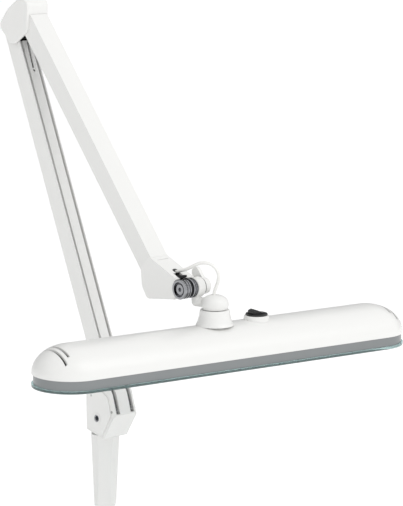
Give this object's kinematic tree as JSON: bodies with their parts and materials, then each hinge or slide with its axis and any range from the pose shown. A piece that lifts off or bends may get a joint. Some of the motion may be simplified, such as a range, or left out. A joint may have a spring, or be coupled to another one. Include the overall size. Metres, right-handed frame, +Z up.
{
  "type": "swing arm desk lamp",
  "caption": "Swing arm desk lamp: a post with a mounting pin, a yoke, two channel arms, a friction clutch, a swivel neck and a long oval LED head with a rocker switch.",
  "frame": {"origin": "on the axis of the mounting pin, where it leaves the foot of the post", "axes": "+Z up along the pin, +X the way the upper arm reaches out, both arms swing in the XZ plane"},
  "size_m": [0.3705, 0.4352, 0.5677],
  "materials": {
    "white_paint": "semi-gloss white powder coat",
    "white_plastic": "glossy white moulding",
    "bright_steel": "bright zinc plated steel",
    "chrome": "polished chrome",
    "dark_steel": "black phosphated steel",
    "black_nylon": "black nylon",
    "grey_band": "satin grey anodised extrusion",
    "clear_cover": "clear acrylic with a pale blue-green edge",
    "white_sheet": "matt white reflector sheet",
    "led_phosphor": "pale yellow phosphor",
    "driver_case": "matt white case",
    "white_cable": "soft white flexible cord"
  },
  "bodies": {
    "base": {"mounting_pin": "bright_steel", "post": "white_paint", "yoke": "white_paint", "yoke_cover_near": "white_plastic", "yoke_cover_far": "white_plastic", "base_bolt": "chrome", "base_nut": "chrome", "spring_anchor_pin": "bright_steel", "panel_screws": "bright_steel"},
    "lower_arm": {"lower_channel": "white_paint", "foot_plate_near": "dark_steel", "foot_plate_far": "dark_steel", "foot_rivets": "bright_steel", "lower_strip": "white_paint", "strip_spacers": "dark_steel", "elbow_knuckle": "black_nylon", "balance_springs": "chrome", "foot_pin": "bright_steel"},
    "upper_arm": {"upper_channel": "white_paint", "elbow_cap": "white_plastic", "elbow_axle": "bright_steel", "elbow_plugs": "white_plastic", "upper_spring": "chrome", "upper_spring_bar": "bright_steel", "tip_cover": "white_plastic", "cable_grommet": "black_nylon", "tip_bracket": "dark_steel", "clutch_cup_near": "chrome", "clutch_cup_far": "chrome", "clutch_bolt": "chrome", "friction_washers": "black_nylon", "head_cable": "white_cable"},
    "neck": {"neck": "white_paint", "swivel_tube": "bright_steel"},
    "locking_lever": {"locking_lever": "white_plastic"},
    "lamp_head": {"shade_shell": "white_plastic", "swivel_boss": "white_plastic", "swivel_nut": "bright_steel", "head_band": "grey_band", "clear_cover": "clear_cover", "gear_tray": "white_sheet", "led_board": "white_sheet", "led_chips": "led_phosphor", "led_driver": "driver_case", "switch_collar": "white_plastic", "switch_body": "black_nylon", "tray_screws": "bright_steel"},
    "rocker": {"switch_rocker": "black_nylon"}
  },
  "joints": [
    {"name": "lower_arm_pivot", "type": "hinge", "parent": "base", "child": "lower_arm", "pos_m": [0.006, 0, 0.097], "axis": [0, 1, 0], "range_deg": [-30, 20], "deforming": ["balance_springs"]},
    {"name": "elbow_pivot", "type": "hinge", "parent": "lower_arm", "child": "upper_arm", "pos_m": [-0.134, 0, 0.502], "axis": [0, 1, 0], "range_deg": [-95, 8], "deforming": ["upper_spring"]},
    {"name": "head_tilt", "type": "hinge", "parent": "upper_arm", "child": "neck", "pos_m": [0.128, 0, 0.252], "axis": [0, -1, 0], "range_deg": [-25, 50], "deforming": ["head_cable"]},
    {"name": "head_swivel", "type": "hinge", "parent": "neck", "child": "lamp_head", "pos_m": [0.1455, 0.0205, 0.2376], "axis": [0, 0, 1], "range_deg": [-30, 75]},
    {"name": "locking_lever_turn", "type": "hinge", "parent": "upper_arm", "child": "locking_lever", "pos_m": [0.128, 0.0208, 0.252], "axis": [0, 1, 0], "range_deg": [-30, 30]},
    {"name": "rocker_press", "type": "hinge", "parent": "lamp_head", "child": "rocker", "pos_m": [0.15293, 0.07146, 0.2182], "axis": [-0.9895, 0.1444, 0], "range_deg": [-16, 0]}
  ]
}
